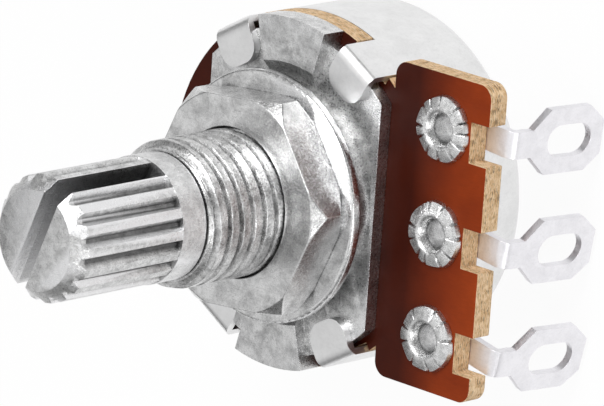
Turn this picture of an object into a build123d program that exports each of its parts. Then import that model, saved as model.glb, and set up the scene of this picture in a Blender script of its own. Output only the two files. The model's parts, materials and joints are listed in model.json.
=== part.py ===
from build123d import *
import math
import os

# Rotary potentiometer, 17 mm class, with a threaded bushing, a split knurled shaft and solder lugs.
# Millimetres.  Z runs along the shaft towards its tip, X points to the solder lugs.
# Z = 0 is the mounting face: the top of the round boss, on which the flat washer seats.

# ---------------------------------------------------------------- driving dimensions

# overall sizes that the others follow
COVER_R = 8.4              # outer radius of the can and of the round end of the wafer
THREAD_R = 3.5             # M7 thread, crest radius (the fine thread itself is left to the looks)
PITCH = 5.0                # between neighbouring terminals
TERMINAL_COUNT = 3

# bushing and front plate, one zinc casting
BUSHING_LEN = 7.0          # mounting face to the front end of the bushing
BUSHING_CHAMFER = 0.4
BUSHING_WALL = 1.15        # from the thread's crest to the bore
BOSS_STEP = 1.8            # the round boss that carries the washer, outside the thread
BOSS_HEIGHT = 1.2          # mounting face above the flange
PLATE_T = 0.7              # flange thickness
PLATE_GAP = 0.25           # flange disc inside the can's bent tabs
PLATE_FLAT_STEP = 0.25     # the two straight flange edges outside the boss
WING_RISE = 0.6            # the two fan-shaped wings stand this much above the flange
WING_LEN = 2.15            # radial length of a wing's flat front
WING_RAMP = 0.8            # radial run of the slope from there down to the flange
WING_HALF_ANGLE = 15.0     # degrees each side of +Y and of -Y
CLIP_RECESS_STEP = 1.55    # recess for the retaining ring, outside the bore
CLIP_RECESS_DEPTH = 0.75

# shaft
HEAD_R = 3.0               # 6 mm shaft head, outside the bushing
SHAFT_TIP = 15.0           # mounting face to the tip of the shaft
COLLAR_LEN = 1.45          # plain collar between the bushing and the knurl
TEETH = 18                 # knurl teeth round the shaft
TOOTH_DEPTH = 0.28
KNURL_STEP = 0.03          # tooth crests below the collar
TOOTH_CREST = 0.42         # flat crest, as a share of the tooth's pitch
TOOTH_ROOT = 0.20          # flat root between two teeth, as the same share
TIP_CHAMFER = 0.65
SLOT_W = 1.0
SLOT_ANGLE = 67.5          # direction of the slot in the XY plane, degrees from +X
STEM_CLEARANCE = 0.05      # radial running fit of the stem in the bore
STEM_FLAT_CUT = 0.75       # depth of each of the two drive flats
HEAD_GAP = 0.08            # end float between the shaft head and the bushing
STAKE_STEP = 0.1           # the staked head behind the rotor, inside the stem's radius
STAKE_T = 0.45

# retaining ring
CLIP_EDGE_GAP = 0.4        # ring to the wall of its recess
CLIP_T = 0.4
CLIP_GROOVE = 0.35         # groove depth in the stem
CLIP_OPENING = 50.0        # opening of the ring, degrees

# nut and washer
NUT_WALL = 1.5             # thread crest to a flat of the nut
NUT_T = 2.0
NUT_TURN = 5.2             # rest angle of the nut, degrees
NUT_BEVEL = 0.7            # share of the corner that the 45 degree bevels of both faces take off
WASHER_BAND = 2.5          # washer's outer radius outside the thread
WASHER_T = 0.6
WASHER_ROUND = 0.18
THREAD_CLEARANCE = 0.05    # nut bore over the bushing crest, radial
WASHER_CLEARANCE = 0.15    # washer bore over the bushing crest, radial

# wafer: the phenolic board with the printed track on its rear face
WAFER_T = 1.1
WAFER_HOLE_GAP = 0.4       # hole round the stem, radial
WAFER_REACH = 3.3          # outer edge, where the lugs leave, beyond the can's radius
WAFER_NECK = 2.75          # where the lug end starts, inside the can's radius
WAFER_SIDE = 2.55          # board beyond the outer eyelets, across
WAFER_CORNER_R = 0.7
NOTCH_DEPTH = 1.1
NOTCH_W = 1.9
NOTCH_SHIFT = -0.3         # the notches sit this much to the side of the eyelets
TAB_NOTCH_CLEARANCE = 0.1

# print on the wafer
PRINT_T = 0.05
RING_MARGIN = 0.4          # collector ring outside the wafer's hole
RING_W = 1.0
RING_TO_TRACK = 0.8
TRACK_W = 1.6
TRACK_HALF_ANGLE = 146.0   # the carbon horseshoe, each side of -X
PAD_ANGLE = 7.0            # silver pad at each end of the track, degrees
LEAD_W = 1.1               # printed leads to the eyelets

# terminals and eyelets
EYELET_OUT = 0.55          # eyelet centres beyond the can's radius
EYELET_BARREL_R = 1.0
EYELET_WALL = 0.38
EYELET_FLANGE_STEP = 0.6   # rolled flange outside the barrel
EYELET_FLANGE_T = 0.42
EYELET_ROLL = 0.34         # rounding of the rolled flange
EYELET_THROAT = 0.2        # rounding of the bore's mouth
EYELET_HEAD_STEP = 0.45    # rear head outside the barrel
EYELET_HEAD_T = 0.25
EYELET_CLEARANCE = 0.03
LUG_T = 0.4
LUG_STRIP_W = 1.3
LUG_EYE_STEP = 0.75        # the terminal's round eye outside the barrel
LUG_BEND_OUT = 0.6         # outer face of the bent-down lug beyond the wafer's edge
LUG_BEND_R = 0.55          # outer bend radius
LUG_LEAN = 6.5             # the lugs lean outwards, degrees
LUG_TURNS = (-12.0, -8.5, -4.6)  # each terminal is riveted slightly askew, degrees about its eyelet
LUG_HEAD_W = 3.15
LUG_NECK_LEN = 1.2         # straight neck below the bend, before it widens
LUG_SHOULDER_LEN = 0.95    # length over which the neck widens
LUG_END_GAP = 0.1          # the lugs end this much short of the can's rear face
LUG_CORNER_W = 0.75
LUG_CORNER_LEN = 0.9
LUG_HOLE_LEN = 2.6
LUG_HOLE_W = 1.55
LUG_HOLE_FROM_END = 2.0    # hole centre to the lug's end

# rear cover: one drawn tinplate can with four folded tabs
COVER_T = 0.4
COVER_DEPTH = 5.55         # wafer's rear face to the can's rear face
COVER_EDGE_R = 0.9
TAB_ANGLES = (60.0, 120.0, -120.0, -60.0)
TAB_W = 2.3
TAB_REACH = 2.1            # the folded tabs reach this far inwards over the flange
TAB_CORNER_R = 0.85
TAB_BEND_R = 0.64          # outer radius of the fold
LUG_WINDOW_HALF_ANGLE = 50.0
LUG_WINDOW_DEPTH = 1.4
STOP_W = 2.4               # stop tongue, bent inwards from the edge of the lug window
STOP_REACH = 1.1           # how far the tongue stands inwards of the can's wall

# rotor and wiper
ROTOR_GAP = 1.5            # rotor disc to the can's wall
ROTOR_T = 0.9
ROTOR_RISE = 0.15          # rotor front above the stop tongue
HUB_WALL = 0.6
HUB_FRONT_GAP = 0.2        # between the hub and the wafer's rear face
STOP_TOOTH_GAP = 0.6       # stop tooth to the can's wall
STOP_TOOTH_ROOT = 1.0      # how deep the tooth is rooted in the disc
SWEEP = 300.0              # full turn of the shaft, degrees
STOP_CLEARANCE = 0.08      # left between the tooth and the tongue at each end
WIPER_T = 0.15
WIPER_GAP = 0.05           # between the contact tips and the print
WIPER_ARM_W = 1.0
WIPER_EDGE = 0.4           # spring ring inside the rotor's edge
WIPER_HUB_GAP = 0.1
WIPER_BAND = 0.7           # narrow side of the spring ring
WIPER_OPENING = 80.0       # narrow side, degrees each side of +X
WIPER_SLOPE = 1.1          # run of a sloping arm per unit of rise
WIPER_PAD = 0.45           # length of the contact pad at an arm's end

# ---------------------------------------------------------------- derived places

COVER_INNER_R = COVER_R - COVER_T
BORE_R = THREAD_R - BUSHING_WALL
STEM_R = BORE_R - STEM_CLEARANCE
STEM_FLAT = STEM_R - STEM_FLAT_CUT
BOSS_R = THREAD_R + BOSS_STEP
PLATE_R = COVER_INNER_R - PLATE_GAP
PLATE_FLAT = BOSS_R + PLATE_FLAT_STEP
WING_INNER_R = COVER_R - WING_LEN
CLIP_RECESS_R = BORE_R + CLIP_RECESS_STEP
CLIP_R = CLIP_RECESS_R - CLIP_EDGE_GAP
NUT_FLAT = THREAD_R + NUT_WALL

PLATE_FRONT = -BOSS_HEIGHT
WAFER_FRONT = PLATE_FRONT - PLATE_T
WAFER_REAR = WAFER_FRONT - WAFER_T
PRINT_REAR = WAFER_REAR - PRINT_T
COVER_REAR = WAFER_REAR - COVER_DEPTH
WINDOW_LOW = WAFER_REAR - LUG_WINDOW_DEPTH
HEAD_REAR = BUSHING_LEN + HEAD_GAP
KNURL_START = HEAD_REAR + COLLAR_LEN
CLIP_FRONT = WAFER_FRONT + CLIP_RECESS_DEPTH - HEAD_GAP
ROTOR_FRONT = WINDOW_LOW + ROTOR_RISE
ROTOR_REAR = ROTOR_FRONT - ROTOR_T

WAFER_HOLE_R = STEM_R + WAFER_HOLE_GAP
WAFER_EDGE_X = COVER_R + WAFER_REACH
WAFER_HALF_W = PITCH * (TERMINAL_COUNT - 1) / 2 + WAFER_SIDE
RING_R_IN = WAFER_HOLE_R + RING_MARGIN
RING_R_OUT = RING_R_IN + RING_W
TRACK_R_IN = RING_R_OUT + RING_TO_TRACK
TRACK_R_OUT = TRACK_R_IN + TRACK_W
RING_MID_R = (RING_R_IN + RING_R_OUT) / 2
TRACK_MID_R = (TRACK_R_IN + TRACK_R_OUT) / 2

EYELET_X = COVER_R + EYELET_OUT
LUG_EYE_R = EYELET_BARREL_R + LUG_EYE_STEP
LUG_BEND_X = WAFER_EDGE_X + LUG_BEND_OUT
LUG_LEN = COVER_DEPTH - LUG_END_GAP
EYELETS = [(EYELET_X, PITCH * (k - (TERMINAL_COUNT - 1) / 2)) for k in range(TERMINAL_COUNT)]

STOP_TIP_R = COVER_INNER_R - STOP_REACH
ROTOR_R = COVER_INNER_R - ROTOR_GAP
HUB_R = STEM_R + HUB_WALL
STOP_TOOTH_R = COVER_INNER_R - STOP_TOOTH_GAP
BIG = 40.0                 # larger than the whole part, for cutting blocks


def ring(z_low, z_high, r_out, r_in=0.0):
    """A plain disc or ring about Z between two heights."""
    body = Pos(0, 0, z_low) * extrude(Circle(r_out), z_high - z_low)
    if r_in:
        body -= Pos(0, 0, z_low - 1) * extrude(Circle(r_in), z_high - z_low + 2)
    return body


def wedge(angle, half_angle, radius=BIG):
    """A flat fan about Z, centred on an angle, for cutting sectors."""
    start = math.radians(angle - half_angle)
    end = math.radians(angle + half_angle)
    middle = math.radians(angle)
    far = radius / math.cos(math.radians(half_angle) / 2)
    points = [(0, 0), (radius * math.cos(start), radius * math.sin(start))]
    for share in (0.25, 0.5, 0.75):
        turn = start + share * (end - start)
        points.append((far * math.cos(turn), far * math.sin(turn)))
    points.append((radius * math.cos(end), radius * math.sin(end)))
    return make_face(Polyline(*points, close=True))


def sector(z_low, z_high, r_out, r_in, angle, half_angle):
    """A piece of a ring, half_angle each side of angle; half_angle stays under 90 degrees."""
    fan = Pos(0, 0, z_low) * extrude(wedge(angle, half_angle), z_high - z_low)
    return ring(z_low, z_high, r_out, r_in) & fan


def block(x_low, x_high, y_low, y_high, z_low, z_high):
    """A box from its two corners."""
    size = (x_high - x_low, y_high - y_low, z_high - z_low)
    middle = ((x_low + x_high) / 2, (y_low + y_high) / 2, (z_low + z_high) / 2)
    return Pos(*middle) * Box(*size)


# ---------------------------------------------------------------- bushing and front plate

def make_bushing_plate():
    flange = ring(WAFER_FRONT, PLATE_FRONT, PLATE_R)
    flange &= block(-PLATE_FLAT, PLATE_FLAT, -BIG, BIG, WAFER_FRONT, PLATE_FRONT)
    boss = ring(WAFER_FRONT, 0, BOSS_R)
    barrel = ring(0, BUSHING_LEN, THREAD_R)
    barrel = chamfer(barrel.edges().sort_by(Axis.Z)[-1:], BUSHING_CHAMFER)
    body = flange + boss + barrel
    wing_ring = ring(WAFER_FRONT, PLATE_FRONT + WING_RISE, COVER_R, WING_INNER_R - WING_RAMP)
    ramp_edge = wing_ring.edges().sort_by(Axis.Z)[-2:].sort_by(SortBy.RADIUS)[:1]
    slope = wing_ring.faces().sort_by(Axis.Z)[-1]
    wing_ring = chamfer(ramp_edge, WING_RAMP, WING_RISE, reference=slope)
    for angle in (90, -90):
        fan = Pos(0, 0, WAFER_FRONT) * extrude(wedge(angle, WING_HALF_ANGLE), PLATE_T + WING_RISE)
        body += wing_ring & fan
    body -= ring(WAFER_FRONT - 1, BUSHING_LEN + 1, BORE_R)
    body -= ring(WAFER_FRONT - 1, WAFER_FRONT + CLIP_RECESS_DEPTH, CLIP_RECESS_R)
    return body


# ---------------------------------------------------------------- shaft

def knurl_outline():
    """Flat-topped teeth just inside the collar's round, with a flat root and sloping flanks between."""
    crest = HEAD_R - KNURL_STEP
    root = crest - TOOTH_DEPTH
    corners = [(-TOOTH_CREST / 2, crest), (TOOTH_CREST / 2, crest),
               (0.5 - TOOTH_ROOT / 2, root), (0.5 + TOOTH_ROOT / 2, root)]
    points = []
    for k in range(TEETH):
        for share, radius in corners:
            turn = 2 * math.pi * (k + share) / TEETH
            points.append((radius * math.cos(turn), radius * math.sin(turn)))
    return make_face(Polyline(*points, close=True))


def make_shaft():
    knurl = Pos(0, 0, KNURL_START) * extrude(knurl_outline(), SHAFT_TIP - KNURL_START)
    taper = ring(HEAD_REAR, SHAFT_TIP, HEAD_R)
    taper = chamfer(taper.edges().sort_by(Axis.Z)[-1:], TIP_CHAMFER)
    head = ring(HEAD_REAR, KNURL_START, HEAD_R) + (knurl & taper)
    slot = block(-BIG, BIG, -SLOT_W / 2, SLOT_W / 2, KNURL_START, SHAFT_TIP + 1)
    head -= Rot(0, 0, SLOT_ANGLE) * slot
    journal_end = CLIP_FRONT - CLIP_T - HEAD_GAP - CLIP_GROOVE
    stem = ring(journal_end, HEAD_REAR, STEM_R)
    stem -= ring(CLIP_FRONT - CLIP_T - HEAD_GAP / 2, CLIP_FRONT, BIG, STEM_R - CLIP_GROOVE)
    drive = ring(ROTOR_REAR, journal_end, STEM_R)
    drive &= block(-BIG, BIG, -STEM_FLAT, STEM_FLAT, ROTOR_REAR, journal_end)
    stake = ring(ROTOR_REAR - STAKE_T, ROTOR_REAR, STEM_R - STAKE_STEP)
    return head + stem + drive + stake


def make_retaining_ring():
    body = ring(CLIP_FRONT - CLIP_T, CLIP_FRONT, CLIP_R, STEM_R - CLIP_GROOVE)
    fan = extrude(wedge(180, CLIP_OPENING / 2), CLIP_T + 2)
    return body - Pos(0, 0, CLIP_FRONT - CLIP_T - 1) * fan


# ---------------------------------------------------------------- nut and washer

def make_flat_washer():
    body = ring(0, WASHER_T, THREAD_R + WASHER_BAND, THREAD_R + WASHER_CLEARANCE)
    return fillet(body.edges().filter_by(GeomType.CIRCLE).sort_by(SortBy.RADIUS)[-2:], WASHER_ROUND)


def make_hex_nut():
    low = WASHER_T
    hexagon = RegularPolygon(NUT_FLAT, 6, major_radius=False)
    body = Pos(0, 0, low) * extrude(hexagon, NUT_T)
    corner_r = NUT_FLAT / math.cos(math.pi / 6)
    bevel = corner_r - NUT_FLAT
    cone = Pos(0, 0, low) * extrude(Circle(corner_r), NUT_T)
    cone = chamfer(cone.edges().filter_by(GeomType.CIRCLE), bevel * NUT_BEVEL)
    body = Rot(0, 0, NUT_TURN) * (body & cone)
    return body - ring(low - 1, low + NUT_T + 1, THREAD_R + THREAD_CLEARANCE)


# ---------------------------------------------------------------- wafer and its print

def tab_slot(angle, margin, z_low, z_high):
    """The space that one cover tab takes through the rim, widened by a margin."""
    half = TAB_W / 2 + margin
    inner = COVER_INNER_R - margin
    return Rot(0, 0, angle) * block(inner, BIG, -half, half, z_low, z_high)


def make_wafer():
    body = ring(WAFER_REAR, WAFER_FRONT, COVER_R)
    neck_x = COVER_R - WAFER_NECK
    tongue = block(neck_x, WAFER_EDGE_X, -WAFER_HALF_W, WAFER_HALF_W, WAFER_REAR, WAFER_FRONT)
    body += fillet(tongue.edges().filter_by(Axis.Z), WAFER_CORNER_R)
    body -= ring(WAFER_REAR - 1, WAFER_FRONT + 1, WAFER_HOLE_R)
    for angle in TAB_ANGLES:
        body -= tab_slot(angle, TAB_NOTCH_CLEARANCE, WAFER_REAR - 1, WAFER_FRONT + 1)
    for x, y in EYELETS:
        hole = extrude(Circle(EYELET_BARREL_R + EYELET_CLEARANCE), WAFER_T + 2)
        body -= Pos(x, y, WAFER_REAR - 1) * hole
        notch_in = WAFER_EDGE_X - NOTCH_DEPTH
        low_y = y + NOTCH_SHIFT - NOTCH_W / 2
        body -= block(notch_in, BIG, low_y, low_y + NOTCH_W, WAFER_REAR - 1, WAFER_FRONT + 1)
    return body


def make_carbon_track():
    body = ring(PRINT_REAR, WAFER_REAR, TRACK_R_OUT, TRACK_R_IN)
    gap = Pos(0, 0, PRINT_REAR - 1) * extrude(wedge(0, 180 - TRACK_HALF_ANGLE), PRINT_T + 2)
    return body - gap


def printed_lead(x_from, y_from, x_to, y_to):
    """A straight printed lead on the wafer's rear face between two points."""
    length = math.hypot(x_to - x_from, y_to - y_from)
    turn = math.degrees(math.atan2(y_to - y_from, x_to - x_from))
    bar = block(0, length, -LEAD_W / 2, LEAD_W / 2, PRINT_REAR, WAFER_REAR)
    return Pos(x_from, y_from, 0) * Rot(0, 0, turn) * bar


def terminal_footprint():
    """The part of the wafer's rear face that the three terminals cover."""
    area = None
    for x, y in EYELETS:
        eye = Pos(x, y, 0) * ring(PRINT_REAR - 1, WAFER_REAR + 1, LUG_EYE_R + PRINT_T)
        area = eye if area is None else area + eye
    return area


def make_silver_print():
    """Two end pads with leads to the outer eyelets, and the collector ring with the middle lead."""
    start_angle = 180 - TRACK_HALF_ANGLE
    cover = terminal_footprint()
    collector = ring(PRINT_REAR, WAFER_REAR, RING_R_OUT, RING_R_IN)
    middle = EYELETS[(TERMINAL_COUNT - 1) // 2]
    collector += printed_lead(RING_MID_R, 0, middle[0], middle[1])
    pieces = [collector - cover]
    for side, (x, y) in ((1, EYELETS[-1]), (-1, EYELETS[0])):
        angle = side * (start_angle - PAD_ANGLE / 2)
        pad = sector(PRINT_REAR, WAFER_REAR, TRACK_R_OUT, TRACK_R_IN, angle, PAD_ANGLE / 2)
        turn = math.radians(angle)
        lead = printed_lead(TRACK_MID_R * math.cos(turn), TRACK_MID_R * math.sin(turn), x, y)
        lead -= ring(PRINT_REAR - 1, WAFER_REAR + 1, TRACK_MID_R)
        pieces.append(pad + (lead - make_carbon_track()) - cover)
    return Compound(children=[piece.solid() for piece in pieces])


# ---------------------------------------------------------------- terminals and eyelets

def lug_outline():
    """The flat lug seen from outside: along = distance from the strip's front face, then across."""
    half_neck = LUG_STRIP_W / 2
    half_head = LUG_HEAD_W / 2
    shoulder = LUG_NECK_LEN + LUG_SHOULDER_LEN
    side = [
        (LUG_BEND_R, half_neck),
        (LUG_NECK_LEN, half_neck),
        (shoulder, half_head),
        (LUG_LEN - LUG_CORNER_LEN, half_head),
        (LUG_LEN, half_head - LUG_CORNER_W),
    ]
    other = [(along, -across) for along, across in reversed(side)]
    return side + other


def make_terminal(x, y, turn):
    """An eye on the wafer's rear face, a strip to its edge and a solder lug bent down outside it."""
    rear = WAFER_REAR - LUG_T
    eye = ring(rear, WAFER_REAR, LUG_EYE_R)
    half = LUG_STRIP_W / 2
    face = LUG_BEND_X - x
    strip_end = face - LUG_BEND_R
    strip = block(0, strip_end, -half, half, rear, WAFER_REAR)
    centre_z = WAFER_REAR - LUG_BEND_R
    bend = Circle(LUG_BEND_R) - Circle(LUG_BEND_R - LUG_T)
    bend = Pos(strip_end, 0, centre_z) * Rot(90, 0, 0) * extrude(bend, half, both=True)
    bend &= block(strip_end, BIG, -BIG, BIG, centre_z, BIG)
    flat = make_face(Polyline(*[(across, -along) for along, across in lug_outline()], close=True))
    hole = Pos(0, LUG_HOLE_FROM_END - LUG_LEN) * SlotOverall(LUG_HOLE_LEN, LUG_HOLE_W, rotation=90)
    lug = extrude(flat - hole, LUG_T)
    lug = Pos(face - LUG_T, 0, WAFER_REAR) * Rot(0, 0, 90) * Rot(90, 0, 0) * lug
    lug = lug.rotate(Axis((face - LUG_T, 0, centre_z), (0, 1, 0)), -LUG_LEAN)
    knee = extrude(Circle(LUG_T), half, both=True)
    knee = Pos(face - LUG_T, 0, centre_z) * Rot(90, 0, 0) * knee
    knee &= block(face - LUG_T, BIG, -BIG, BIG, -BIG, centre_z)
    body = eye + strip + bend + lug + knee
    body -= ring(rear - 1, WAFER_REAR + 1, EYELET_BARREL_R + EYELET_CLEARANCE)
    return Pos(x, y, 0) * Rot(0, 0, turn) * body


def make_eyelet(x, y):
    """A hollow rivet: rolled flange in front, flat head behind the terminal."""
    front = WAFER_FRONT
    rear = WAFER_REAR - LUG_T
    barrel = ring(rear - EYELET_HEAD_T, front + EYELET_FLANGE_T, EYELET_BARREL_R)
    head = ring(rear - EYELET_HEAD_T, rear, EYELET_BARREL_R + EYELET_HEAD_STEP)
    flange = ring(front, front + EYELET_FLANGE_T, EYELET_BARREL_R + EYELET_FLANGE_STEP)
    rim = flange.edges().filter_by(GeomType.CIRCLE).sort_by(Axis.Z)[-1:]
    flange = fillet(rim, EYELET_ROLL)
    body = barrel + head + flange
    body -= ring(rear - EYELET_HEAD_T - 1, front + EYELET_FLANGE_T + 1, EYELET_BARREL_R - EYELET_WALL)
    throat = body.edges().filter_by(GeomType.CIRCLE).sort_by(Axis.Z)[-2:]
    body = fillet(throat.sort_by(SortBy.RADIUS)[:1], EYELET_THROAT)
    return Pos(x, y, 0) * body


# ---------------------------------------------------------------- rear cover

def cover_tab(angle):
    """One tab: out of the can's edge, through the wafer's notch and folded over the plate."""
    top = PLATE_FRONT + COVER_T
    half = TAB_W / 2
    outer = block(COVER_R - TAB_REACH, COVER_R, -half, half, WAFER_REAR - 1, top)
    tip_edges = outer.edges().filter_by(Axis.Z).sort_by(Axis.X)[:2]
    outer = fillet(tip_edges, TAB_CORNER_R)
    bend_edge = outer.edges().filter_by(Axis.Y).sort_by(Axis.Z)[-2:].sort_by(Axis.X)[-1:]
    outer = fillet(bend_edge, TAB_BEND_R)
    inner = block(0, COVER_INNER_R, -BIG, BIG, -BIG, PLATE_FRONT)
    tab = Rot(0, 0, angle) * (outer - inner)
    return tab & ring(-BIG, BIG, COVER_R)


def make_rear_cover():
    shell = ring(COVER_REAR, WAFER_REAR, COVER_R)
    shell = fillet(shell.edges().sort_by(Axis.Z)[:1], COVER_EDGE_R)
    hollow = ring(COVER_REAR + COVER_T, WAFER_REAR + 1, COVER_INNER_R)
    hollow = fillet(hollow.edges().sort_by(Axis.Z)[:1], COVER_EDGE_R - COVER_T)
    shell -= hollow
    window = extrude(wedge(0, LUG_WINDOW_HALF_ANGLE), LUG_WINDOW_DEPTH + 1)
    shell -= Pos(0, 0, WINDOW_LOW) * window
    root = COVER_INNER_R + COVER_T / 2
    shell += block(STOP_TIP_R, root, -STOP_W / 2, STOP_W / 2, WINDOW_LOW - COVER_T, WINDOW_LOW)
    for angle in TAB_ANGLES:
        shell += cover_tab(angle)
    return shell


# ---------------------------------------------------------------- rotor and wiper

def make_rotor():
    """The moulded wiper carrier, driven by the two flats of the shaft."""
    body = ring(ROTOR_REAR, ROTOR_FRONT, ROTOR_R)
    body += ring(ROTOR_REAR, WAFER_REAR - HUB_FRONT_GAP, HUB_R)
    stop_half = math.degrees(math.asin((STOP_W / 2 + STOP_CLEARANCE) / STOP_TIP_R))
    tooth_half = 180 - SWEEP / 2 - stop_half
    root = ROTOR_R - STOP_TOOTH_ROOT
    body += sector(ROTOR_REAR, ROTOR_FRONT, STOP_TOOTH_R, root, 180, tooth_half)
    bore = ring(ROTOR_REAR - 1, WAFER_REAR + 1, STEM_R)
    bore &= block(-BIG, BIG, -STEM_FLAT, STEM_FLAT, -BIG, BIG)
    return body - bore


def wiper_arm(radius):
    """One arm, seen from the side: a slope up from the spring ring and a flat contact pad."""
    rise = PRINT_REAR - WIPER_GAP - ROTOR_FRONT
    run = rise * WIPER_SLOPE
    end = run + WIPER_PAD
    low = rise - WIPER_T
    points = [(0, 0), (run, low), (end, low), (end, rise), (run - WIPER_T / 2, rise)]
    points += [(-WIPER_T, WIPER_T), (-WIPER_T, 0)]
    arm = extrude(make_face(Polyline(*points, close=True)), WIPER_ARM_W / 2, both=True)
    return Pos(-radius, 0, ROTOR_FRONT) * Rot(0, 0, 90) * Rot(90, 0, 0) * arm


def make_wiper():
    """A spring sheet ring on the rotor with two arms, bent forward to the track and to the ring."""
    body = ring(ROTOR_FRONT, ROTOR_FRONT + WIPER_T, ROTOR_R - WIPER_EDGE, HUB_R + WIPER_HUB_GAP)
    narrow = HUB_R + WIPER_HUB_GAP + WIPER_BAND
    body -= sector(ROTOR_FRONT - 1, ROTOR_FRONT + WIPER_T + 1, BIG, narrow, 0, WIPER_OPENING)
    return body + wiper_arm(RING_MID_R) + wiper_arm(TRACK_MID_R)


# ---------------------------------------------------------------- write the nodes

def make_all():
    nodes = {
        "bushing_plate": make_bushing_plate(),
        "shaft": make_shaft(),
        "retaining_ring": make_retaining_ring(),
        "flat_washer": make_flat_washer(),
        "hex_nut": make_hex_nut(),
        "wafer": make_wafer(),
        "carbon_track": make_carbon_track(),
        "silver_print": make_silver_print(),
        "rear_cover": make_rear_cover(),
        "rotor": make_rotor(),
        "wiper": make_wiper(),
    }
    for k, ((x, y), turn) in enumerate(zip(EYELETS, LUG_TURNS), start=1):
        nodes["terminal_%d" % k] = make_terminal(x, y, turn)
        nodes["eyelet_%d" % k] = make_eyelet(x, y)
    return nodes


os.makedirs("parts", exist_ok=True)
for name, shape in make_all().items():
    export_step(shape, "parts/%s.step" % name)
    print(name, round(shape.volume, 3))
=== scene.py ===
# %% [markdown]
# # A panel potentiometer
#
# The object is a rotary control as it leaves its tray: a die-cast bushing and front plate, a split knurled
# shaft, a nut and a washer, a paper-phenolic wafer with three riveted lugs, and a tinplate can.
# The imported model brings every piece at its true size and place.  This lesson gives them their looks:
# fine shapes that are too small for the construction, such as the thread and the cracked rivet rims,
# and one material for each real finish.

import json
import math

import bmesh
import bpy
import numpy as np
from mathutils import Matrix, Vector

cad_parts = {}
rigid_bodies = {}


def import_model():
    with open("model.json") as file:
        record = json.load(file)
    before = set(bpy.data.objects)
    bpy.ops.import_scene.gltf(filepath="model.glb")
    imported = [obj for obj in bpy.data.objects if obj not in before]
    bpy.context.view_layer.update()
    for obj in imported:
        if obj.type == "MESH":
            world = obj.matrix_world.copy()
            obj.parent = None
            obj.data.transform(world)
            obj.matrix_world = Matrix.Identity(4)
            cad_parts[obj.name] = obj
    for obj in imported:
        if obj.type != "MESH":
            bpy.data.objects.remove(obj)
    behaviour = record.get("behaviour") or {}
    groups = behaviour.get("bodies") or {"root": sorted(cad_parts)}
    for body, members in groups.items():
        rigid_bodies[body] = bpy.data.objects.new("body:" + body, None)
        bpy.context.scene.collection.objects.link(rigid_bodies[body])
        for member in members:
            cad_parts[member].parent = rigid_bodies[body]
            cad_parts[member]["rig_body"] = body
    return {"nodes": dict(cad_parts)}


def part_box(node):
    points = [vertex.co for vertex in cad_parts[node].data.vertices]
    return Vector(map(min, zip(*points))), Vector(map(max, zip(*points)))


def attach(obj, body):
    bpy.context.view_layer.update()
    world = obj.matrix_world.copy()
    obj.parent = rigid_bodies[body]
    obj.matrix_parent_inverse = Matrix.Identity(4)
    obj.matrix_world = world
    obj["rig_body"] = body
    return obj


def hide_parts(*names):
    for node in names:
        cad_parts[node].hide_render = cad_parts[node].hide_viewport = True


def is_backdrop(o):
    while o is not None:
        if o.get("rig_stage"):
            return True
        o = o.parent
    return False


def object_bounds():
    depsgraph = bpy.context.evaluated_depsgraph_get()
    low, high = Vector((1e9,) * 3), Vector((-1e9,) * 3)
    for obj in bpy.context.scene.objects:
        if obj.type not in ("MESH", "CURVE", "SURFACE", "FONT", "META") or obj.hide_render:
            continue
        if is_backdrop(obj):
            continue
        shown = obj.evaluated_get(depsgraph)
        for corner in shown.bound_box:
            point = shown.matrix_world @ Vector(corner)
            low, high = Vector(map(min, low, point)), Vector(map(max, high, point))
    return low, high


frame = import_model()
cad_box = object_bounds()
nodes = frame["nodes"]

# %% [markdown]
# ## Sizes
#
# Blender works in metres and the part is only 2 cm long, so lengths are written in millimetres and
# multiplied by one factor.  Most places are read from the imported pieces' boxes, so that the looks follow
# the construction.  Only what a box can't tell is written here.

# %% Sizes that the looks need
MM = 0.001
THREAD_R = 3.5 * MM
THREAD_PITCH = 0.75 * MM
THREAD_DEPTH = 0.36 * MM
BUSHING_CHAMFER = 0.4 * MM
BARREL_CORE_R = 3.0 * MM
BORE_R = 2.35 * MM
EYELET_BORE_R = 0.62 * MM
EYELET_BARREL_R = 1.0 * MM

plate_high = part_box("bushing_plate")[1]
wafer_low, wafer_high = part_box("wafer")
cover_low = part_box("rear_cover")[0]
print("bushing top", round(plate_high.z / MM, 3), "mm, floor", round(cover_low.z / MM, 3), "mm")

# %% [markdown]
# ## Small tools for materials
#
# Every finish here is a Principled shader with noise worked into its colour, its roughness and a fine
# bump.  Patterns read the Object coordinates, scaled so that one unit is a millimetre: a scale of 3 on a
# noise then means three blotches a millimetre, whatever piece wears it.

# %% Node helpers
def add(tree, kind, inputs=None, **settings):
    """Adds a shader node.  Inputs given as sockets are linked, and others are set as values."""
    made = tree.nodes.new(kind)
    for key, value in settings.items():
        setattr(made, key, value)
    for key, value in (inputs or {}).items():
        if isinstance(value, bpy.types.NodeSocket):
            tree.links.new(value, made.inputs[key])
        else:
            made.inputs[key].default_value = value
    return made


def start_material(name, **sockets):
    """A new material.  Returns it with its tree, its shader and coordinates in millimetres."""
    material = bpy.data.materials.new(name)
    material.use_nodes = True
    tree = material.node_tree
    shader = tree.nodes["Principled BSDF"]
    for key, value in sockets.items():
        shader.inputs[key.replace("_", " ").title()].default_value = value
    coords = add(tree, "ShaderNodeTexCoord").outputs["Object"]
    scaled = add(tree, "ShaderNodeMapping", {"Vector": coords, "Scale": (1 / MM, 1 / MM, 1 / MM)})
    return material, tree, shader, scaled.outputs[0]


def stretched(tree, coords, scale, turn=(0, 0, 0)):
    """The coordinates turned and scaled, so that a noise becomes streaks along the short scale."""
    angles = [math.radians(a) for a in turn]
    return add(tree, "ShaderNodeMapping", {"Vector": coords, "Scale": scale, "Rotation": angles}).outputs[0]


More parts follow.
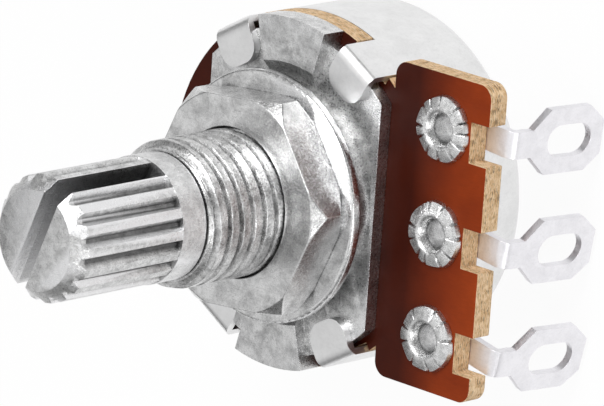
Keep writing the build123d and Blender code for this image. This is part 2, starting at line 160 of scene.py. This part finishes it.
def noise(tree, coords, scale, detail=4.0, rough=0.55, warp=0.0):
    """Cloudy noise between 0 and 1."""
    made = add(tree, "ShaderNodeTexNoise", {"Vector": coords, "Scale": scale, "Detail": detail})
    made.inputs["Roughness"].default_value = rough
    made.inputs["Distortion"].default_value = warp
    return made.outputs["Fac"]


def ramp(tree, value, *stops):
    """Turns a value into a colour: stops are pairs of a position and a grey level or a colour."""
    made = add(tree, "ShaderNodeValToRGB", {"Fac": value})
    elements = made.color_ramp.elements
    while len(elements) < len(stops):
        elements.new(0.5)
    for element, (place, colour) in zip(elements, stops):
        element.position = place
        shade = (colour,) * 3 if isinstance(colour, (int, float)) else colour
        element.color = (*shade, 1)
    return made.outputs["Color"]


def mix(tree, factor, first, second, blend="MIX"):
    """Blends two colours by a factor."""
    made = add(tree, "ShaderNodeMix", data_type="RGBA", blend_type=blend)
    for index, value in ((0, factor), (6, first), (7, second)):
        if isinstance(value, bpy.types.NodeSocket):
            tree.links.new(value, made.inputs[index])
        else:
            made.inputs[index].default_value = (*value, 1) if isinstance(value, tuple) else value
    return made.outputs[2]


def calc(tree, operation, first, second):
    """One step of arithmetic on values."""
    return add(tree, "ShaderNodeMath", {0: first, 1: second}, operation=operation).outputs[0]


def bump(tree, height, depth_mm, below=None):
    """A bump whose full height is depth_mm, laid over an earlier bump if there is one."""
    made = add(tree, "ShaderNodeBump", {"Height": height, "Distance": depth_mm * MM, "Strength": 1.0})
    if below is not None:
        tree.links.new(below, made.inputs["Normal"])
    return made.outputs["Normal"]


def connect(tree, shader, **sockets):
    """Links outputs to the shader's sockets by name."""
    for key, value in sockets.items():
        tree.links.new(value, shader.inputs[key.replace("_", " ").title()])


# %% [markdown]
# ## Metals
#
# Die-cast zinc is dull, with cloudy grey blotches and small pits.  Plated steel is brighter, with fine
# scratches from the barrel it was plated in.  Tinplate is satin and even, and hot tin on the lugs is the
# palest of all.  One recipe makes them all: cloudy colour, scratches, bright worn edges and painted shade
# in the hollows, in different amounts.  Pointiness tells edges from hollows: it is high where the surface
# is convex.

# %% A metal recipe
def painted_groove_shade(tree, coords, root_r, crest_r, low, high):
    """Painted shade: dark at the root radius and plain on the crests, between two heights; all in
    millimetres.
    """
    flat = add(tree, "ShaderNodeVectorMath", {0: coords, 1: (1, 1, 0)}, operation="MULTIPLY").outputs[0]
    radius = add(tree, "ShaderNodeVectorMath", {0: flat}, operation="LENGTH").outputs["Value"]
    span = {"Value": radius, "From Min": root_r, "From Max": crest_r}
    depth = add(tree, "ShaderNodeMapRange", span).outputs[0]
    height = add(tree, "ShaderNodeSeparateXYZ", {"Vector": coords}).outputs["Z"]
    above = calc(tree, "GREATER_THAN", height, low)
    below = calc(tree, "LESS_THAN", height, high)
    inside = calc(tree, "MULTIPLY", above, below)
    shade = ramp(tree, depth, (0.0, 0.30), (0.75, 1.0))
    return mix(tree, inside, (1, 1, 1), shade)


def metal(name, dark, light, rough, blotch=1.2, streak=(0.5, 9.0, 9.0), streak_turn=(0, 0, 25),
          scratch=0.004, wear=0.35, painted_hollow_shade=0.5, scores=0.3, speck=0.5, grooves=None):
    """Colour runs from dark to light over blotches; rough is a pair; wear brightens edges, the hollow share
    paints shade into hollows, scores draws thin dark scratches and speck adds fine dark grains, each as a
    share."""
    material, tree, shader, coords = start_material(name, metallic=1.0)
    clouds = noise(tree, coords, blotch, detail=7.0, rough=0.72, warp=0.3)
    grain = noise(tree, coords, blotch * 7, detail=4.0, rough=0.7)
    lines = noise(tree, stretched(tree, coords, streak, streak_turn), 2.5, detail=5.0, rough=0.7)
    base = ramp(tree, clouds, (0.36, dark), (0.60, light))
    speckle = ramp(tree, grain, (0.36, 0.55), (0.52, 1.0))
    base = mix(tree, speck, base, speckle, "MULTIPLY")
    thin = ramp(tree, lines, (0.36, 1.0 - scores), (0.40, 1.0))
    base = mix(tree, 1.0, base, thin, "MULTIPLY")
    bend = add(tree, "ShaderNodeNewGeometry").outputs["Pointiness"]
    # Painted shade: hollows, where Pointiness is low, are darkened by the hollow share.
    painted_hollow_dark = ramp(tree, bend, (0.40, 1.0 - painted_hollow_shade), (0.495, 1.0))
    base = mix(tree, 1.0, base, painted_hollow_dark, "MULTIPLY")
    # Painted shade in the knurl's grooves and the shaft's slot, darker at smaller radius.
    if grooves:
        base = mix(tree, 1.0, base, painted_groove_shade(tree, coords, *grooves), "MULTIPLY")
    worn = ramp(tree, bend, (0.515, 0.0), (0.60, wear))
    base = mix(tree, worn, base, (0.88, 0.88, 0.89))
    smooth = ramp(tree, grain, (0.3, rough[0]), (0.7, rough[1]))
    relief = bump(tree, lines, scratch)
    relief = bump(tree, clouds, scratch * 3, below=relief)
    relief = bump(tree, grain, scratch * 0.8, below=relief)
    connect(tree, shader, base_color=base, roughness=smooth, normal=relief)
    return material


# The knurl's groove root and crest radii, then its two ends along the shaft, in millimetres, where the shaft
# takes painted shade in its grooves.
KNURL = (2.69, 2.95, 8.53, 14.35)

ZINC = metal("die_cast_zinc", 0.36, 0.80, (0.20, 0.38), blotch=1.3, scratch=0.008, wear=0.6, painted_hollow_shade=0.75,
             scores=0.35)
SHAFT_ZINC = metal("shaft_casting", 0.44, 0.80, (0.22, 0.40), blotch=2.2, streak=(9.0, 9.0, 0.6),
                   streak_turn=(0, 0, 0), scratch=0.010, wear=0.9, painted_hollow_shade=0.85, scores=0.5, grooves=KNURL)
PLATED = metal("plated_steel", 0.46, 0.84, (0.16, 0.32), blotch=1.1, scratch=0.006, wear=0.6, painted_hollow_shade=0.8,
               scores=0.45, speck=0.35)
TINPLATE = metal("satin_tinplate", 0.80, 0.88, (0.30, 0.42), blotch=0.8, scratch=0.002, wear=0.2,
                 scores=0.1, speck=0.12)
TIN = metal("hot_tin", (0.84, 0.83, 0.86), (0.93, 0.92, 0.95), (0.36, 0.5), blotch=1.2, scratch=0.003,
            wear=0.1, painted_hollow_shade=0.3, scores=0.06, speck=0.12)
RIVET_TIN = metal("rivet_tin", 0.50, 0.82, (0.20, 0.36), blotch=2.6, scratch=0.006, wear=0.4, scores=0.2)
SPRING = metal("spring_steel", 0.20, 0.38, (0.25, 0.4), wear=0.2)
BRASS = metal("spring_brass", (0.55, 0.36, 0.12), (0.80, 0.60, 0.28), (0.2, 0.35), wear=0.2)
print("metals", [m.name for m in bpy.data.materials])

# %% [markdown]
# ## The board
#
# Paper phenolic is a stack of brown paper set in resin.  Its pressed face is orange-brown and smooth.
# Where the die cut it, the paper shows as pale golden fibres with dark ones between, running along the
# sheet.  So the board wears two materials, one for the faces and one for the cut edges.

# %% Board materials
# Painted shade on the pressed face: it darkens towards the casting between these two places.
SHADE_START = 7.2       # X in millimetres where the face is darkest, beside the casting
SHADE_END = 12.0        # X in millimetres where it has its full colour


def board_face():
    """Orange-brown resin with faint clouds, painted shade darker towards the can, and a fine pressed grain.
    """
    material, tree, shader, coords = start_material("phenolic_face", roughness=0.42)
    shader.inputs["Specular IOR Level"].default_value = 0.12
    clouds = noise(tree, coords, 0.35, detail=5.0, warp=0.4)
    weave = noise(tree, stretched(tree, coords, (1.0, 14.0, 1.0)), 1.6, detail=5.0)
    base = ramp(tree, clouds, (0.3, (0.20, 0.024, 0.002)), (0.7, (0.30, 0.042, 0.004)))
    # Painted shade: the face is darkened towards the casting, along X.
    across = add(tree, "ShaderNodeSeparateXYZ", {"Vector": coords}).outputs["X"]
    span = {"Value": across, "From Min": SHADE_START, "From Max": SHADE_END}
    outward = add(tree, "ShaderNodeMapRange", span).outputs[0]
    shade = ramp(tree, outward, (0.0, (0.16, 0.12, 0.12)), (0.55, (0.75, 0.70, 0.70)), (1.0, 1.0))
    base = mix(tree, 1.0, base, shade, "MULTIPLY")
    fine = ramp(tree, weave, (0.3, 0.78), (0.6, 1.0))
    base = mix(tree, 0.6, base, fine, "MULTIPLY")
    relief = bump(tree, weave, 0.004)
    connect(tree, shader, base_color=base, normal=relief)
    return material


def board_edge():
    """Torn paper fibres, golden tan with dark brown flecks, layered along the sheet."""
    material, tree, shader, coords = start_material("phenolic_edge", roughness=0.85)
    fibres = noise(tree, stretched(tree, coords, (2.2, 2.2, 7.0)), 1.5, detail=8.0, rough=0.7, warp=0.5)
    flecks = noise(tree, stretched(tree, coords, (3.0, 3.0, 9.0)), 1.1, detail=4.0, rough=0.6)
    brown, tan, pale = (0.18, 0.08, 0.025), (0.62, 0.38, 0.18), (0.90, 0.68, 0.44)
    base = ramp(tree, fibres, (0.28, brown), (0.42, tan), (0.60, pale))
    dark = ramp(tree, flecks, (0.36, 0.25), (0.46, 1.0))
    base = mix(tree, 0.75, base, dark, "MULTIPLY")
    relief = bump(tree, fibres, 0.09)
    connect(tree, shader, base_color=base, normal=relief)
    return material


FACE = board_face()
EDGE = board_edge()

# %% [markdown]
# ## Prints and mouldings inside the can
#
# The carbon track, the silver print and the moulded rotor don't show from the front, but whoever takes
# the part apart sees them, so each gets its own plain finish.

# %% Inner materials
def plain(name, dark, light, rough, scale, depth_mm):
    """A matt material with one noise in its colour and its bump."""
    material, tree, shader, coords = start_material(name, roughness=rough)
    grain = noise(tree, coords, scale, detail=5.0)
    connect(tree, shader, base_color=ramp(tree, grain, (0.3, dark), (0.7, light)),
            normal=bump(tree, grain, depth_mm))
    return material


CARBON = plain("carbon_film", 0.012, 0.03, 0.55, 6.0, 0.003)
SILVER = metal("silver_film", 0.55, 0.75, (0.4, 0.55), blotch=3.0, wear=0.0)
NYLON = plain("moulded_nylon", (0.018, 0.018, 0.02), (0.032, 0.032, 0.035), 0.45, 2.0, 0.01)

# %% [markdown]
# ## Copies with soft edges
#
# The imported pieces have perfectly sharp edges, which catch no light.  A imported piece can't be changed, so
# a copy stands for it: its loose triangles are merged, flat areas become single faces, and a Bevel
# modifier rounds each sharp edge by a few hundredths of a millimetre.

# %% Refined copies
BEVEL_ANGLE = math.radians(28)


def merged_mesh(node):
    """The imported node's mesh as a bmesh, with doubles merged and flat neighbours joined."""
    work = bmesh.new()
    work.from_mesh(nodes[node].data)
    bmesh.ops.remove_doubles(work, verts=work.verts, dist=1e-7)
    bmesh.ops.dissolve_limit(work, angle_limit=math.radians(0.3), verts=work.verts, edges=work.edges)
    return work


def object_from(work, name, materials):
    """Makes a smooth-shaded object from a bmesh, with sharp edges kept sharp."""
    mesh = bpy.data.meshes.new(name)
    for material in materials:
        mesh.materials.append(material)
    work.to_mesh(mesh)
    work.free()
    mesh.polygons.foreach_set("use_smooth", np.ones(len(mesh.polygons), bool))
    mesh.set_sharp_from_angle(angle=BEVEL_ANGLE)
    piece = bpy.data.objects.new(name, mesh)
    bpy.context.scene.collection.objects.link(piece)
    return piece


def soften(piece, width_mm, segments=2):
    """Rounds the sharp edges with a Bevel modifier."""
    edge = piece.modifiers.new("soft_edges", "BEVEL")
    edge.limit_method = "ANGLE"
    edge.angle_limit = BEVEL_ANGLE
    edge.width = width_mm * MM
    edge.segments = segments
    edge.harden_normals = True
    return piece


def stand_for(piece, node):
    """The piece rides on the node's body and stands for the node, which is hidden."""
    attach(piece, nodes[node]["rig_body"])
    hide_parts(node)
    print(piece.name, "stands for", node, "with", len(piece.data.polygons), "faces")
    return piece


def refined(node, name, material, width_mm=0.04):
    """A soft-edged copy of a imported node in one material."""
    piece = object_from(merged_mesh(node), name, [material])
    return stand_for(soften(piece, width_mm), node)


# %% [markdown]
# ## Surfaces on a grid
#
# New shapes are sheets of points in rows and columns.  Faces join each point to its neighbours.  Every
# sheet here closes on itself both ways, so its last row and column are joined to its first.

# %% Grid surfaces
def grid_faces(rows, columns):
    """Corner numbers of the quads between neighbouring rows and columns."""
    r, c = np.meshgrid(np.arange(rows), np.arange(columns), indexing="ij")
    r_next, c_next = (r + 1) % rows, (c + 1) % columns
    corners = [r * columns + c, r * columns + c_next, r_next * columns + c_next, r_next * columns + c]
    return np.stack(corners, -1).reshape(-1, 4)


def grid_mesh(name, points):
    """A closed mesh from an array of points shaped rows by columns by 3."""
    rows, columns = points.shape[:2]
    mesh = bpy.data.meshes.new(name)
    mesh.from_pydata(points.reshape(-1, 3).tolist(), [], grid_faces(rows, columns).tolist())
    mesh.update()
    return mesh


def around(radius, height, angle):
    """Points on a turned surface: x and y from the radius and angle, z from the height."""
    return np.stack([radius * np.cos(angle), radius * np.sin(angle), height], -1)


# %% [markdown]
# ## The threaded bushing
#
# The construction has a plain barrel on the crest of the thread, so the thread is cut inwards and the
# bushing keeps its size.  The radius follows a helix: it depends on the height and the angle only through
# the phase, height / pitch - angle / full turn.  Crests are wide and flat with narrow grooves between, as
# on a worn die, and near the front the radius also stays inside the chamfer.

# %% Thread surface
CREST_SHARE = 0.56         # how far from mid-crest the flank begins; half a pitch counts as 1
FLANK_SHARE = 0.38         # width of the flank, on the same scale
CREST_WEAR = 0.02 * MM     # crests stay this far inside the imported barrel
ROUND_STEPS = 220
RISE_STEPS = 190


def thread_radius(height, angle, rng):
    """Crest radius less the groove: a wide flat crest, then a steep flank down to a rounded root."""
    phase = height / THREAD_PITCH - angle / (2 * np.pi)
    away = np.abs((phase % 1.0) - 0.5) * 2
    groove = np.clip((away - CREST_SHARE) / FLANK_SHARE, 0, 1)
    groove = groove * groove * (3 - 2 * groove)
    dents = 0
    for waves in (3, 7, 11, 17):
        depth_mm = rng.uniform(0.004, 0.010)
        slant = rng.uniform(2, 6)
        dents = dents + depth_mm * np.sin(waves * angle + height / MM * slant + rng.uniform(0, 6))
    radius = THREAD_R - THREAD_DEPTH * groove + dents * MM * (groove < 0.2) - CREST_WEAR
    inside = THREAD_R - np.clip(height - (plate_high.z - BUSHING_CHAMFER), 0, None)
    return np.minimum(np.minimum(radius, inside), THREAD_R)


def threaded_sleeve():
    """Rows up the barrel, then over the front face and down the bore; columns run round."""
    rng = np.random.default_rng(7)
    angle = np.linspace(0, 2 * np.pi, ROUND_STEPS, endpoint=False)[None, :]
    foot = -0.02 * MM
    rise = np.linspace(foot, plate_high.z, RISE_STEPS)[:, None]
    outer = thread_radius(rise, angle, rng)
    rim = THREAD_R - BUSHING_CHAMFER
    outer[-1] = rim
    mouth = np.full((1, ROUND_STEPS), BORE_R + 0.10 * MM)
    bore = np.full((2, ROUND_STEPS), BORE_R + 0.01 * MM)
    radius = np.vstack([outer, mouth, bore])
    height = np.vstack([rise, [[plate_high.z]], [[plate_high.z - 0.08 * MM]], [[foot]]])
    points = around(radius, np.broadcast_to(height, radius.shape), np.broadcast_to(angle, radius.shape))
    return grid_mesh("bushing_thread", points)


def casting():
    """The casting's copy with its barrel slimmed to a core, joined with the threaded sleeve."""
    work = merged_mesh("bushing_plate")
    for vertex in work.verts:
        reach = math.hypot(vertex.co.x, vertex.co.y)
        if vertex.co.z > -1e-6 and BARREL_CORE_R < reach < THREAD_R + 1e-6:
            vertex.co.xy = vertex.co.xy * (BARREL_CORE_R / reach)
            if vertex.co.z > MM:
                vertex.co.z = min(vertex.co.z, plate_high.z - 0.02 * MM)
    bmesh.ops.remove_doubles(work, verts=work.verts, dist=1e-7)
    work.from_mesh(threaded_sleeve())
    piece = object_from(work, "die_cast_bushing", [ZINC])
    return stand_for(soften(piece, 0.05), "bushing_plate")


casting()

# %% [markdown]
# ## Rivets with cracked rims
#
# A hollow rivet is set by rolling its front edge outwards.  The brass splits as it spreads, so the rim is
# a ring of petals.  The profile below is carried round the axis, and each crack pulls the rim inwards and
# down over a narrow angle.

# %% Rivet surface
RIM_R = 1.6 * MM
RIM_RISE = 0.42 * MM
RIM_CREST = 0.34           # where the rim is highest, as a share of its width from the bore
HEAD_R = 1.45 * MM
HEAD_BEVEL = 0.1 * MM
CRACK_START_R = 0.95 * MM  # cracks grow from nothing here
CRACK_GROWTH = 0.5 * MM    # to their full depth this much further out
RIM_STEPS = 34
BORE_STEPS = 6
TURN_STEPS = 300


def rivet_profile(front, rear, head_rear):
    """Radius and height along the closed section, and how far each point is out on the rolled rim."""
    swing = np.linspace(0, 1, RIM_STEPS)
    roll_r = EYELET_BORE_R + (RIM_R - EYELET_BORE_R) * swing
    lip = 1 - np.clip(1 - swing / RIM_CREST, 0, None) ** 2
    slope = 1 - 0.45 * np.clip((swing - RIM_CREST) / (1 - RIM_CREST), 0, 1) ** 1.5
    roll_z = front + RIM_RISE * lip * slope * np.clip((1 - swing) / 0.06, 0, 1) ** 0.5
    bore_z = np.linspace(head_rear, front - 0.1 * MM, BORE_STEPS)
    back_r = np.array([EYELET_BARREL_R, EYELET_BARREL_R, HEAD_R, HEAD_R, HEAD_R - HEAD_BEVEL])
    back_z = np.array([front, rear, rear, head_rear + HEAD_BEVEL, head_rear])
    radius = np.concatenate([np.full(BORE_STEPS, EYELET_BORE_R), roll_r, back_r])
    height = np.concatenate([bore_z, roll_z, back_z])
    crack = np.clip((roll_r - CRACK_START_R) / CRACK_GROWTH, 0, 1)
    out = np.concatenate([np.zeros(BORE_STEPS), crack, np.zeros(len(back_r))])
    return radius, height, out


def rivet(index, cracks):
    """One rivet: the profile round its axis, with petals between the cracks."""
    rng = np.random.default_rng(40 + index)
    low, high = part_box("eyelet_%d" % index)
    middle = (low + high) / 2
    radius, height, out = rivet_profile(wafer_high.z, wafer_low.z - 0.4 * MM, low.z)
    angle = np.linspace(0, 2 * np.pi, TURN_STEPS, endpoint=False)
    places = (np.arange(cracks) + rng.uniform(-0.25, 0.25, cracks)) * 2 * np.pi / cracks
    gap = (angle[:, None] - places[None, :] + np.pi) % (2 * np.pi) - np.pi
    width = rng.uniform(0.02, 0.045, cracks)
    split = np.exp(-(gap / width) ** 2).max(1)
    petal = 0.05 * np.cos(angle * 3 + rng.uniform(0, 6)) + 0.04 * np.sin(angle * 7 + rng.uniform(0, 6))
    pull = out[:, None] * (0.12 * split + petal * 0.5 + 0.03)[None, :] * MM
    sink = out[:, None] * (0.16 * split + 0.02 * np.cos(angle * 5))[None, :] * MM
    wide = np.maximum(radius[:, None] - np.maximum(pull, 0), EYELET_BORE_R)
    tall = np.maximum(height[:, None] - sink, np.minimum(height[:, None], wafer_high.z))
    points = around(wide, tall, np.broadcast_to(angle, wide.shape)) + np.array([middle.x, middle.y, 0])
    work = bmesh.new()
    work.from_mesh(grid_mesh("rivet", points))
    bmesh.ops.recalc_face_normals(work, faces=work.faces)
    piece = object_from(work, "cracked_rivet_%d" % index, [RIVET_TIN])
    return stand_for(piece, "eyelet_%d" % index)


for index, cracks in ((1, 9), (2, 11), (3, 12)):
    rivet(index, cracks)

# %% [markdown]
# ## Wafer
#
# The board is a soft-edged copy with two materials.  A face belongs to the pressed side when its normal
# points along the shaft, and to the cut edge otherwise.

# %% Board
def board():
    """The wafer's copy, with its pressed faces and its cut edges told apart by their normals."""
    work = merged_mesh("wafer")
    for face in work.faces:
        face.material_index = 0 if abs(face.normal.z) > 0.7 else 1
    piece = object_from(work, "phenolic_board", [FACE, EDGE])
    return stand_for(soften(piece, 0.06), "wafer")


board()

# %% [markdown]
# ## The other pieces
#
# The shaft, nut, washer, lugs and can already have their full form, so they are soft-edged copies in
# their own metals.  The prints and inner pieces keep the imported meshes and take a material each.

# %% Soft-edged metal pieces
refined("shaft", "knurled_shaft", SHAFT_ZINC, 0.05)
refined("hex_nut", "plated_nut", PLATED, 0.06)
refined("flat_washer", "plated_washer", PLATED, 0.04)
refined("rear_cover", "tinplate_can", TINPLATE, 0.05)
for index in (1, 2, 3):
    refined("terminal_%d" % index, "tinned_lug_%d" % index, TIN, 0.05)

# %% Inner pieces in their packed form
for node, material in (("retaining_ring", SPRING), ("carbon_track", CARBON), ("silver_print", SILVER),
                       ("rotor", NYLON), ("wiper", BRASS)):
    nodes[node].data.materials.clear()
    nodes[node].data.materials.append(material)

# %% [markdown]
# ## Floor, light and camera
#
# The part stands on the back of its can, on a pale floor.  The floor glows a little for the camera and in
# reflections, so it reads as white paper and still keeps a soft shadow.  A large soft lamp high on the
# +Y side and a weaker one beyond the lugs give metal something bright to reflect, and the dark low part
# of the world gives it something dark.

# %% Floor
FLOOR_GLOW = 0.94          # share of the floor's look that is plain white


def paper():
    """White where the camera or a reflection sees it, and a plain pale grey for everything else."""
    material = bpy.data.materials.new("paper_floor")
    material.use_nodes = True
    tree = material.node_tree
    tree.nodes.clear()
    path = add(tree, "ShaderNodeLightPath")
    seen = calc(tree, "MAXIMUM", path.outputs["Is Camera Ray"], path.outputs["Is Glossy Ray"])
    seen = calc(tree, "MAXIMUM", seen, path.outputs["Is Transmission Ray"])
    diffuse = add(tree, "ShaderNodeBsdfDiffuse", {"Color": (0.82, 0.82, 0.82, 1)})
    glow = add(tree, "ShaderNodeEmission", {"Color": (1, 1, 1, 1), "Strength": 1.0})
    share = calc(tree, "MULTIPLY", seen, FLOOR_GLOW)
    both = add(tree, "ShaderNodeMixShader", {0: share, 1: diffuse.outputs[0], 2: glow.outputs[0]})
    add(tree, "ShaderNodeOutputMaterial", {"Surface": both.outputs[0]})
    return material


FLOOR_HALF = 600 * MM
floor_mesh = bpy.data.meshes.new("floor")
floor_z = cover_low.z - 0.005 * MM
corners = [(-1, -1), (1, -1), (1, 1), (-1, 1)]
floor_mesh.from_pydata([(x * FLOOR_HALF, y * FLOOR_HALF, floor_z) for x, y in corners], [], [(0, 1, 2, 3)])
floor_mesh.materials.append(paper())
floor = bpy.data.objects.new("floor", floor_mesh)
bpy.context.scene.collection.objects.link(floor)
floor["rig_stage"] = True

# %% World and lamps
def studio_world():
    """Bright overhead, grey near the horizon; plain white where the camera looks past the floor."""
    world = bpy.data.worlds.new("studio")
    world.use_nodes = True
    tree = world.node_tree
    tree.nodes.clear()
    direction = add(tree, "ShaderNodeTexCoord").outputs["Generated"]
    height = add(tree, "ShaderNodeSeparateXYZ", {"Vector": direction}).outputs["Z"]
    sky = ramp(tree, height, (0.0, 0.05), (0.30, 0.18), (0.62, 0.70), (0.95, 0.95))
    seen = add(tree, "ShaderNodeLightPath").outputs["Is Camera Ray"]
    colour = mix(tree, seen, sky, (1.0, 1.0, 1.0))
    glow = add(tree, "ShaderNodeBackground", {"Color": colour, "Strength": 1.0})
    add(tree, "ShaderNodeOutputWorld", {"Surface": glow.outputs[0]})
    return world


def lamp(name, place_mm, size_mm, watts):
    """A square soft lamp at a place, turned to shine at the origin."""
    light = bpy.data.lights.new(name, "AREA")
    light.size = size_mm * MM
    light.energy = watts
    bulb = bpy.data.objects.new(name, light)
    bulb.location = Vector(place_mm) * MM
    bulb.rotation_mode = "QUATERNION"
    bulb.rotation_quaternion = (-Vector(place_mm)).to_track_quat("-Z", "Y")
    bpy.context.scene.collection.objects.link(bulb)


bpy.context.scene.world = studio_world()
lamp("key_lamp", (40, 200, 240), 150, 0.55)
lamp("side_lamp", (280, -80, 140), 110, 0.22)

# %% Camera
CAMERA_AZIMUTH = 21.23
CAMERA_ELEVATION = 44.20
CAMERA_ROLL = -101.08
CAMERA_DISTANCE = 325.8 * MM
CAMERA_AIM = Vector((1.149, -0.266, -1.002)) * MM
SENSOR_WIDTH_MM = 36.0
LENS_MM = 417.2


def camera():
    """A long lens on a circle round the part, rolled so that the shaft points to the left."""
    turn, rise, roll = (math.radians(a) for a in (CAMERA_AZIMUTH, CAMERA_ELEVATION, CAMERA_ROLL))
    back = Vector((math.cos(turn) * math.cos(rise), math.sin(turn) * math.cos(rise), math.sin(rise)))
    level = Vector((-math.sin(turn), math.cos(turn), 0))
    upright = back.cross(level)
    right = level * math.cos(roll) + upright * math.sin(roll)
    up = back.cross(right)
    data = bpy.data.cameras.new("camera")
    data.sensor_width = SENSOR_WIDTH_MM
    data.lens = LENS_MM
    eye = bpy.data.objects.new("camera", data)
    place = Matrix((right, up, back)).transposed().to_4x4()
    place.translation = CAMERA_AIM + back * CAMERA_DISTANCE
    eye.matrix_world = place
    bpy.context.scene.collection.objects.link(eye)
    return eye


bpy.context.scene.camera = camera()
bpy.context.scene.view_settings.view_transform = "Standard"

# %% [markdown]
# ## Sizes before and after
#
# The looks must not make the part larger, so both boxes are written down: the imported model's, taken at
# the start, and the finished one's.

# %% Finish
bpy.context.view_layer.update()
look_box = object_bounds()
for label, (low, high) in (("packed", cad_box), ("finished", look_box)):
    print(label, [round((b - a) / MM, 3) for a, b in zip(low, high)], "mm")
